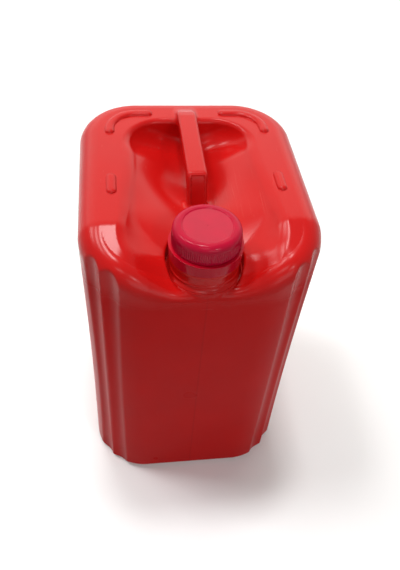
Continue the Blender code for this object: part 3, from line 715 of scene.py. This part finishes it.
def helix_mesh(name, root, crest, start_z, first_turn, turns):
    """A helical ridge that grows from its root towards its crest and dies away at both ends."""
    count = round(turns * HELIX_STEPS) + 1
    share = np.linspace(0.0, turns, count)
    turn = 2 * math.pi * (first_turn + share)
    rise = start_z + THREAD_PITCH * (first_turn + share)
    grown = smooth(np.minimum(share, turns - share) / THREAD_RUN_OUT)
    height = blend(THREAD_LEAST_SHARE, 1.0, grown)
    tip = blend(root, crest, height)
    flank = blend(root, crest, height * THREAD_FLANK_SHARE)
    foot = np.full(count, root)
    section = (
        (foot, -THREAD_ROOT_HALF),
        (flank, -THREAD_CREST_HALF - THREAD_EDGE),
        (tip, -THREAD_CREST_HALF + THREAD_EDGE),
        (tip, THREAD_CREST_HALF - THREAD_EDGE),
        (flank, THREAD_CREST_HALF + THREAD_EDGE),
        (foot, THREAD_ROOT_HALF),
    )
    rows = [np.stack([r * np.cos(turn), NECK_Y + r * np.sin(turn), rise + dz], axis=1) for r, dz in section]
    points = np.stack(rows, axis=1).reshape(-1, 3)
    width = len(section)
    quads = []
    for i in range(count - 1):
        for j in range(width):
            k = (j + 1) % width
            quads.append((i * width + j, (i + 1) * width + j, (i + 1) * width + k, i * width + k))
    if crest < root:
        quads = [quad[::-1] for quad in quads]
    return mesh_from_arrays(name, points, np.array(quads))


def mark_sharp(mesh, degrees=32):
    """Keep the edges that turn by more than an angle sharp in the smooth shading."""
    mesh.set_sharp_from_angle(angle=math.radians(degrees))


def build_neck():
    """Neck with its beads and thread, hollow down to the can's shoulder."""
    flare = LOWER_NECK_RADIUS + NECK_FLARE
    sunk = BOSS_Z - NECK_SINK
    flare_base = BOSS_Z + NECK_FLARE_BASE
    low_bead = BOSS_Z + LOWER_BEAD_RISE
    low_crest = low_bead + LOWER_BEAD_FLANK
    low_crest_end = low_crest + LOWER_BEAD_FLAT
    support_top = BAND_BOTTOM_Z - BAND_PLAY
    support_low = support_top - SUPPORT_BEAD_HEIGHT
    hold = BAND_BOTTOM_Z + BAND_LIP_HIGH + RETAINING_BEAD_PLAY
    hold_crest = hold + RETAINING_BEAD_FLANK
    hold_crest_end = hold_crest + RETAINING_BEAD_FLAT
    hold_end = hold_crest_end + RETAINING_BEAD_TOP_FLANK
    mesh = turned_mesh("neck_finish", rounded_profile([
        (flare, sunk, 0),
        (flare, flare_base, FINE_FILLET),
        (LOWER_NECK_RADIUS, flare_base + NECK_FLARE_RISE, NECK_FLARE_FILLET),
        (LOWER_NECK_RADIUS, low_bead, SMALL_FILLET),
        (LOWER_BEAD_RADIUS, low_crest, BEAD_FILLET),
        (LOWER_BEAD_RADIUS, low_crest_end, BEAD_FILLET),
        (LOWER_NECK_RADIUS, low_crest_end + LOWER_BEAD_TOP_FLANK, SOFT_FILLET),
        (LOWER_NECK_RADIUS, support_low, BROAD_FILLET),
        (SUPPORT_BEAD_RADIUS, support_low + SUPPORT_BEAD_FLANK, SOFT_FILLET),
        (SUPPORT_BEAD_RADIUS, support_top, SOFT_FILLET),
        (GROOVE_RADIUS, support_top, SMALL_FILLET),
        (GROOVE_RADIUS, hold, SMALL_FILLET),
        (RETAINING_BEAD_RADIUS, hold_crest, SMALL_FILLET),
        (RETAINING_BEAD_RADIUS, hold_crest_end, SMALL_FILLET),
        (GROOVE_RADIUS, hold_end, SOFT_FILLET),
        (THREAD_ROOT_RADIUS, hold_end + NECK_STEP, SOFT_FILLET),
        (THREAD_ROOT_RADIUS, MOUTH_Z, BROAD_FILLET),
        (BORE_RADIUS, MOUTH_Z, SOFT_FILLET),
        (BORE_RADIUS, support_top + BORE_STRAIGHT_ABOVE_BEAD, BORE_FILLET),
        (GROOVE_RADIUS - BORE_STEP_INSET, support_top, BORE_FILLET),
        (LOWER_BORE_RADIUS, support_low - LOWER_BORE_DROP, LOWER_BORE_FILLET),
        (LOWER_BORE_RADIUS, sunk, 0),
    ]), wrap=True)
    mark_sharp(mesh)
    neck = add_piece("neck_finish", mesh, "can")
    crest = THREAD_ROOT_RADIUS + THREAD_DEPTH
    start_z = MOUTH_Z - THREAD_START_DROP
    ridge = helix_mesh("neck_thread", THREAD_ROOT_RADIUS - THREAD_SINK, crest, start_z, 0.0, NECK_TURNS)
    thread = add_piece("neck_thread", ridge, "can")
    return [neck, thread]


def cap_ribbing(turns, radius, height):
    """Fine upright ribs on the lower skirt, fading out into the shoulder."""
    if radius < CAP_RADIUS - CAP_RIB_INSET:
        return 0.0
    low = CAP_BOTTOM_Z + CAP_RIB_START
    high = CAP_TOP_Z - CAP_SHOULDER - CAP_RIB_STOP
    window = smooth((height - low) / CAP_RIB_START_FADE) * smooth((high - height) / CAP_RIB_STOP_FADE)
    crest = (0.5 + 0.5 * np.cos(CAP_RIBS * turns)) ** CAP_RIB_SHARPNESS
    return CAP_RIB_DEPTH * window * (crest - CAP_RIB_CENTRE)


def cap_profile():
    """The cap's section: disc and its rim, shoulder, skirt, then back up the inside to the ceiling."""
    shoulder_z = CAP_TOP_Z - CAP_SHOULDER
    shoulder_r = CAP_RADIUS - CAP_SHOULDER
    profile = [Vector((radius, DISC_Z)) for radius in (POLE_RADIUS, *DISC_RINGS)]
    profile += rounded_profile([
        (DISC_FLAT_RADIUS, DISC_Z, 0),
        (DISC_RADIUS, DISC_Z, SMALL_FILLET),
        (DISC_RADIUS + DISC_RIM_RUN, CAP_TOP_Z, SOFT_FILLET),
        (shoulder_r - SHOULDER_LEAD, CAP_TOP_Z, 0),
    ])
    for step in range(SHOULDER_STEPS + 1):
        turn = math.pi / 2 * (1 - step / SHOULDER_STEPS)
        out = shoulder_r + CAP_SHOULDER * math.cos(turn)
        profile.append(Vector((out, shoulder_z + CAP_SHOULDER * math.sin(turn))))
    skirt_low = CAP_BOTTOM_Z + SKIRT_EDGE_ZONE
    for step in range(1, SKIRT_STEPS + 1):
        profile.append(Vector((CAP_RADIUS, blend(shoulder_z, skirt_low, step / SKIRT_STEPS))))
    profile += rounded_profile([
        (CAP_RADIUS, skirt_low - SKIRT_LEAD, 0),
        (CAP_RADIUS, CAP_BOTTOM_Z, FINE_FILLET),
        (CAP_BORE_RADIUS, CAP_BOTTOM_Z, SMALL_FILLET),
        (CAP_BORE_RADIUS, CAP_BOTTOM_Z + BORE_EDGE_ZONE, 0),
    ])
    profile += rounded_profile([
        (CAP_BORE_RADIUS, CAP_CEILING_Z - CEILING_DROP, 0),
        (CAP_BORE_RADIUS, CAP_CEILING_Z, SOFT_FILLET),
        (CAP_BORE_RADIUS - CEILING_EDGE_ZONE, CAP_CEILING_Z, 0),
        (POLE_RADIUS, CAP_CEILING_Z, 0),
    ])
    return profile


def build_cap():
    """The screw cap with its skirt ribs and internal thread."""
    mesh = turned_mesh("screw_cap_skin", cap_profile(), steps=8 * CAP_RIBS, wrap=True, bulge=cap_ribbing)
    mesh.flip_normals()
    mark_sharp(mesh, 50)
    cap = add_piece("screw_cap_skin", mesh, "closure", "screw_cap")
    root = CAP_BORE_RADIUS + THREAD_SINK
    start_z = MOUTH_Z - THREAD_START_DROP + THREAD_PITCH / 2
    ridge = helix_mesh("cap_thread", root, CAP_THREAD_CREST, start_z, CAP_THREAD_LEAD_IN, CAP_TURNS)
    thread = add_piece("cap_thread", ridge, "closure")
    return [cap, thread]


def build_band():
    """The tamper ring with its top flange and inner lip."""
    side = BAND_RADIUS - BAND_FLANGE_REACH
    under_flange = BAND_TOP_Z - BAND_FLANGE
    lip_low = BAND_BOTTOM_Z + BAND_LIP_LOW
    lip_high = BAND_BOTTOM_Z + BAND_LIP_HIGH
    mesh = turned_mesh("tamper_ring_skin", rounded_profile([
        (side - BAND_FOOT_BEVEL, BAND_BOTTOM_Z, 0),
        (side, BAND_BOTTOM_Z, FINE_FILLET),
        (side, under_flange - BAND_FLANGE_FLANK, FINE_FILLET),
        (BAND_RADIUS, under_flange, TINY_FILLET),
        (BAND_RADIUS, BAND_TOP_Z, SMALL_FILLET),
        (CAP_BORE_RADIUS, BAND_TOP_Z, FINE_FILLET),
        (CAP_BORE_RADIUS, under_flange, FINE_FILLET),
        (BAND_INNER_RADIUS, under_flange, FINE_FILLET),
        (BAND_INNER_RADIUS, lip_high, FINE_FILLET),
        (BAND_LIP_RADIUS, lip_high, FINE_FILLET),
        (BAND_LIP_RADIUS, lip_low, FINE_FILLET),
        (BAND_INNER_RADIUS, BAND_BOTTOM_Z, 0),
    ]), wrap=True)
    mark_sharp(mesh)
    return [add_piece("tamper_ring_skin", mesh, "tamper_ring", "tamper_band")]


def build_bridge_stubs():
    """Small stubs on the ring's top where the bridges to the cap have parted."""
    stub_r = (CAP_BORE_RADIUS + CAP_RADIUS) / 2
    ends = ((BAND_TOP_Z - BRIDGE_SINK, 1.0), (BAND_TOP_Z + BRIDGE_RISE, BRIDGE_TAPER))
    corners = [(-1, -1), (1, -1), (1, 1), (-1, 1)]
    points, quads = [], []
    for i in range(BRIDGES):
        turn = 2 * math.pi * (i + 0.5) / BRIDGES
        out = Vector((math.cos(turn), math.sin(turn), 0))
        side = Vector((-out.y, out.x, 0))
        base = len(points)
        for height, size in ends:
            for u, v in corners:
                along = side * u * BRIDGE_HALF_LENGTH * size
                place = out * (stub_r + v * BRIDGE_HALF_WIDTH * size) + along
                points.append((place.x, place.y + NECK_Y, height))
        quads.append([base + j for j in (3, 2, 1, 0)])
        quads.append([base + j for j in (4, 5, 6, 7)])
        for j in range(4):
            k = (j + 1) % 4
            quads.append([base + j, base + k, base + 4 + k, base + 4 + j])
    mesh = mesh_from_arrays("bridge_stubs", np.array(points), np.array(quads))
    mesh.shade_flat()
    return [add_piece("bridge_stubs", mesh, "tamper_ring")]


def build_gasket():
    """The sealing disc under the cap's ceiling."""
    top = GASKET_Z + GASKET_THICKNESS
    mesh = turned_mesh("gasket_disc", rounded_profile([
        (POLE_RADIUS, GASKET_Z, 0),
        (GASKET_RADIUS - GASKET_EDGE_ZONE, GASKET_Z, 0),
        (GASKET_RADIUS, GASKET_Z, SMALL_FILLET),
        (GASKET_RADIUS, top, SMALL_FILLET),
        (GASKET_RADIUS - GASKET_EDGE_ZONE, top, 0),
        (POLE_RADIUS, top, 0),
    ]), wrap=True)
    mark_sharp(mesh)
    return [add_piece("gasket_disc", mesh, "seal", "gasket")]


# Materials

class Shader:
    """A material's node tree, with short calls for the nodes that the finishes share."""

    def __init__(self, name):
        self.material = bpy.data.materials.new(name)
        self.material.use_nodes = True
        self.tree = self.material.node_tree
        self.surface = self.tree.nodes["Principled BSDF"]
        self.place = self.node("ShaderNodeTexCoord").outputs["Object"]

    def node(self, kind, **settings):
        node = self.tree.nodes.new(kind)
        for key, value in settings.items():
            setattr(node, key, value)
        return node

    def link(self, source, target):
        self.tree.links.new(source, target)

    def feed(self, socket, value):
        if isinstance(value, bpy.types.NodeSocket):
            self.link(value, socket)
        else:
            socket.default_value = value

    def noise(self, scale, detail=2.0, roughness=0.5, stretch=(1, 1, 1), turn=(0, 0, 0)):
        mapping = self.node("ShaderNodeMapping")
        self.link(self.place, mapping.inputs["Vector"])
        mapping.inputs["Scale"].default_value = stretch
        mapping.inputs["Rotation"].default_value = turn
        noise = self.node("ShaderNodeTexNoise")
        self.link(mapping.outputs["Vector"], noise.inputs["Vector"])
        noise.inputs["Scale"].default_value = scale
        noise.inputs["Detail"].default_value = detail
        noise.inputs["Roughness"].default_value = roughness
        return noise.outputs["Fac"]

    def spread(self, value, low, high, to_low=0.0, to_high=1.0):
        """Map low..high to to_low..to_high, and hold the ends."""
        node = self.node("ShaderNodeMapRange")
        node.inputs["From Min"].default_value = low
        node.inputs["From Max"].default_value = high
        node.inputs["To Min"].default_value = to_low
        node.inputs["To Max"].default_value = to_high
        self.link(value, node.inputs["Value"])
        return node.outputs["Result"]

    def math(self, operation, a, b=0.0):
        node = self.node("ShaderNodeMath", operation=operation)
        self.feed(node.inputs[0], a)
        self.feed(node.inputs[1], b)
        return node.outputs["Value"]

    def mix(self, share, low, high):
        node = self.node("ShaderNodeMix", data_type="RGBA")
        self.feed(node.inputs["Factor"], share)
        self.feed(node.inputs["A"], low)
        self.feed(node.inputs["B"], high)
        return node.outputs["Result"]

    def from_upright(self, x, y):
        """Distance in plan from an upright line."""
        mapping = self.node("ShaderNodeMapping")
        self.link(self.place, mapping.inputs["Vector"])
        mapping.inputs["Location"].default_value = (-x, -y, 0.0)
        mapping.inputs["Scale"].default_value = (1.0, 1.0, 0.0)
        length = self.node("ShaderNodeVectorMath", operation="LENGTH")
        self.link(mapping.outputs["Vector"], length.inputs[0])
        return length.outputs["Value"]

    def bump(self, height, distance, strength=1.0, under=None):
        node = self.node("ShaderNodeBump")
        node.inputs["Strength"].default_value = strength
        node.inputs["Distance"].default_value = distance
        self.link(height, node.inputs["Height"])
        if under:
            self.link(under, node.inputs["Normal"])
        return node.outputs["Normal"]

    def set(self, **values):
        for key, value in values.items():
            self.feed(self.surface.inputs[key.replace("_", " ")], value)


def rgb(red, green, blue):
    return (red, green, blue, 1.0)


def grey(level):
    return rgb(level, level, level)


def can_plastic():
    """Red blow-moulded polyethylene: satin and faintly wavy, with die lines, a mould line and light wear."""
    s = Shader("red_polyethylene")
    patches = s.noise(PATCH_SCALE, 2.0)
    grain = s.noise(GRAIN_SCALE, 2.0)
    streaks = s.noise(1.0, 3.0, stretch=STREAK_STRETCH)
    scuffs = s.noise(1.0, 4.0, stretch=SCUFF_STRETCH, turn=(0, 0, SCUFF_TURN))
    scuffs = s.spread(scuffs, *SCUFF_RANGE)
    place = s.node("ShaderNodeSeparateXYZ")
    s.link(s.place, place.inputs[0])
    worn = s.spread(place.outputs["Z"], WORN_WALL_TOP - WORN_WALL_FADE, WORN_WALL_TOP, 1.0, 0.0)
    from_seam = s.math("ABSOLUTE", place.outputs["X"])
    seam = s.math("MULTIPLY", s.spread(from_seam, SEAM_WIDTH / 2, SEAM_WIDTH, 1.0, 0.0), worn)
    scratches = s.noise(1.0, 2.0, stretch=SCRATCH_STRETCH, turn=(0, 0, SCRATCH_TURN))
    near_handle = s.spread(s.from_upright(*SCRATCHED_SPOT), SCRATCH_REACH / 2, SCRATCH_REACH, 1.0, 0.0)
    scratches = s.math("MULTIPLY", s.spread(scratches, *SCRATCH_RANGE), near_handle)

    shade = s.mix(s.spread(patches, *PATCH_RANGE), rgb(*DEEP_RED), rgb(*BRIGHT_RED))
    shade = s.mix(s.math("MULTIPLY", scuffs, SCUFF_TINT), shade, rgb(*SCUFF_COLOUR))
    shade = s.mix(s.math("MULTIPLY", scratches, SCRATCH_TINT), shade, rgb(*SCRATCH_COLOUR))
    shade = s.mix(s.math("MULTIPLY", seam, SEAM_TINT), shade, rgb(*SEAM_COLOUR))
    s.set(Base_Color=shade)
    rough = s.spread(patches, *PATCH_RANGE, *CAN_ROUGHNESS)
    rough = s.math("ADD", rough, s.math("MULTIPLY", scuffs, SCUFF_ROUGHNESS))
    s.set(Roughness=s.math("ADD", rough, s.math("MULTIPLY", worn, WORN_ROUGHNESS)))
    s.set(Specular_IOR_Level=s.spread(worn, 0.0, 1.0, DECK_GLOSS, WALL_GLOSS))
    normal = s.bump(s.noise(WAVE_SCALE, 1.0), WAVE_HEIGHT, 0.35)
    normal = s.bump(streaks, STREAK_HEIGHT, 0.5, normal)
    normal = s.bump(grain, GRAIN_HEIGHT, 0.6, normal)
    s.set(Normal=s.bump(seam, SEAM_HEIGHT, 0.4, normal))
    return s.material


def cap_plastic(name, colour):
    """Glossy crimson polyethylene with faint wear, matte on the disc inside the cap's rim."""
    s = Shader(name)
    on_disc = s.spread(s.from_upright(0.0, NECK_Y), DISC_RADIUS - DISC_RIM_RUN, DISC_RADIUS, 1.0, 0.0)
    patches = s.noise(CAP_PATCH_SCALE, 2.0)
    grain = s.noise(CAP_GRAIN_SCALE, 2.0)
    darker = [CAP_DARKER * part for part in colour]
    s.set(Base_Color=s.mix(s.spread(patches, *CLOSURE_TINT_RANGE), rgb(*darker), rgb(*colour)))
    rough = s.spread(patches, *CLOSURE_NOISE_RANGE, *CAP_ROUGHNESS)
    s.set(Roughness=s.math("ADD", rough, s.math("MULTIPLY", on_disc, DISC_ROUGHNESS)))
    s.set(Specular_IOR_Level=s.math("ADD", CAP_GLOSS, s.math("MULTIPLY", on_disc, DISC_GLOSS)))
    s.set(Normal=s.bump(grain, CAP_GRAIN_HEIGHT, 0.5, s.bump(patches, CAP_PATCH_HEIGHT, 0.3)))
    return s.material


def gasket_foam():
    """Off-white foamed plastic with a fine grain."""
    s = Shader("gasket_foam")
    grain = s.noise(GASKET_GRAIN_SCALE, 3.0)
    s.set(Base_Color=s.mix(grain, rgb(*GASKET_DARK), rgb(*GASKET_LIGHT)))
    s.set(Roughness=s.spread(grain, *CLOSURE_NOISE_RANGE, *GASKET_ROUGHNESS))
    s.set(Normal=s.bump(grain, GASKET_GRAIN_HEIGHT, 0.6))
    return s.material


def seen_ray(tree):
    """1 for rays that show a thing to the camera, also in a mirror or through glass, 0 for the rest."""
    path = tree.nodes.new("ShaderNodeLightPath")
    total = path.outputs["Is Camera Ray"]
    for name in ("Is Glossy Ray", "Is Transmission Ray"):
        add = tree.nodes.new("ShaderNodeMath")
        add.operation = "ADD"
        tree.links.new(total, add.inputs[0])
        tree.links.new(path.outputs[name], add.inputs[1])
        total = add.outputs["Value"]
    return total


def floor_paint():
    """Matte white that lights the can's walls like a grey floor and stays white far from the can."""
    s = Shader("floor_paint")
    seen = seen_ray(s.tree)
    from_can = s.node("ShaderNodeVectorMath", operation="LENGTH")
    s.link(s.place, from_can.inputs[0])
    far = s.spread(from_can.outputs["Value"], FLOOR_FADE_START, FLOOR_FADE_END)
    paint = s.mix(s.noise(3, 2.0), grey(FLOOR_SEEN_LOW), grey(FLOOR_SEEN_HIGH))
    near = s.mix(seen, grey(FLOOR_THROWN), paint)
    s.set(Base_Color=s.mix(far, near, grey(0.0)), Emission_Color=grey(1.0))
    s.set(Emission_Strength=s.math("MULTIPLY", s.math("MULTIPLY", far, seen), FLOOR_FAR_GLOW))
    s.set(Roughness=s.spread(s.noise(40, 2.0), 0.3, 0.7, 0.75, 0.85))
    return s.material


def dress(pieces, material):
    for piece in pieces:
        piece.data.materials.clear()
        piece.data.materials.append(material)


# Stage, light and camera

def build_floor():
    size = FLOOR_REACH
    mesh = bpy.data.meshes.new("floor")
    corners = [(-size, -size, 0), (size, -size, 0), (size, size, 0), (-size, size, 0)]
    mesh.from_pydata(corners, [], [(0, 1, 2, 3)])
    floor = bpy.data.objects.new("floor", mesh)
    bpy.context.scene.collection.objects.link(floor)
    dress([floor], floor_paint())


def softbox(name, direction, distance, size, radiance, tint=(1.0, 1.0, 1.0)):
    """A rectangular light that faces the can from a direction, with the size and radiance of its face."""
    target = Vector((0.0, 0.0, RIM_HEIGHT))
    aim = Vector(direction).normalized()
    light = bpy.data.lights.new(name, "AREA")
    light.shape = "RECTANGLE"
    light.size, light.size_y = size
    light.energy = radiance * math.pi * size[0] * size[1]
    light.color = tint
    lamp = bpy.data.objects.new(name, light)
    turn = aim.to_track_quat("Z", "Y").to_matrix().to_4x4()
    lamp.matrix_world = Matrix.Translation(target + aim * distance) @ turn
    bpy.context.scene.collection.objects.link(lamp)


def light_stage():
    softbox("overhead", (-0.03, 0.19, 0.98), 6.0, (0.9, 0.8), 62.0)
    softbox("left_key", (-0.36, 0.17, 0.92), 6.0, (1.5, 0.8), 27.0)
    softbox("left_window", (-0.64, 0.26, 0.73), 5.0, (1.2, 1.0), 15.0)
    softbox("back_panel", (0.0, 0.80, 0.60), 4.0, (9.0, 3.8), 1.25, (1.0, 0.97, 0.88))
    softbox("front_key", (0.37, -0.66, 0.65), 4.0, (0.3, 0.3), 60.0)
    softbox("front_top", (-0.10, -0.55, 0.83), 5.0, (1.6, 0.6), 9.0)
    softbox("front_window", (0.28, -0.90, 0.30), 4.0, (2.4, 1.6), 2.4)
    world = bpy.data.worlds.new("studio")
    bpy.context.scene.world = world
    world.use_nodes = True
    background = world.node_tree.nodes["Background"]
    background.inputs["Color"].default_value = grey(1.0)
    strength = world.node_tree.nodes.new("ShaderNodeMapRange")
    strength.inputs["To Min"].default_value = WORLD_THROWN
    strength.inputs["To Max"].default_value = WORLD_SEEN
    world.node_tree.links.new(seen_ray(world.node_tree), strength.inputs["Value"])
    world.node_tree.links.new(strength.outputs["Result"], background.inputs["Strength"])


def place_camera():
    """The camera fitted to the photo; the frame, focal length and centre are in the photo's pixels."""
    width, height = 400, 570
    focal, centre_x, centre_y = 609.27, 203.20, 298.41
    azimuth, elevation, roll = math.radians(-11.311), math.radians(48.356), math.radians(6.110)
    place = Vector((-0.0799, -0.5164, 0.7724))
    back = Vector((
        math.sin(azimuth) * math.cos(elevation),
        -math.cos(azimuth) * math.cos(elevation),
        math.sin(elevation),
    ))
    level = Vector((math.cos(azimuth), math.sin(azimuth), 0.0))
    up = back.cross(level)
    right = math.cos(roll) * level + math.sin(roll) * up
    above = -math.sin(roll) * level + math.cos(roll) * up
    data = bpy.data.cameras.new("camera")
    data.sensor_width = 36
    data.lens = focal * data.sensor_width / height
    data.shift_x = (width / 2 - centre_x) / height
    data.shift_y = (centre_y - height / 2) / height
    camera = bpy.data.objects.new("camera", data)
    turn = Matrix((right, above, back)).transposed().to_4x4()
    camera.matrix_world = Matrix.Translation(place) @ turn
    bpy.context.scene.collection.objects.link(camera)
    bpy.context.scene.camera = camera


red = can_plastic()
crimson = cap_plastic("crimson_cap", CAP_CRIMSON)
ring_crimson = cap_plastic("crimson_ring", RING_CRIMSON)
dress([build_can_skin(), *build_neck()], red)
dress(build_cap(), crimson)
dress([*build_band(), *build_bridge_stubs()], ring_crimson)
dress(build_gasket(), gasket_foam())
build_floor()
light_stage()
place_camera()
bpy.context.scene.view_settings.view_transform = "Standard"
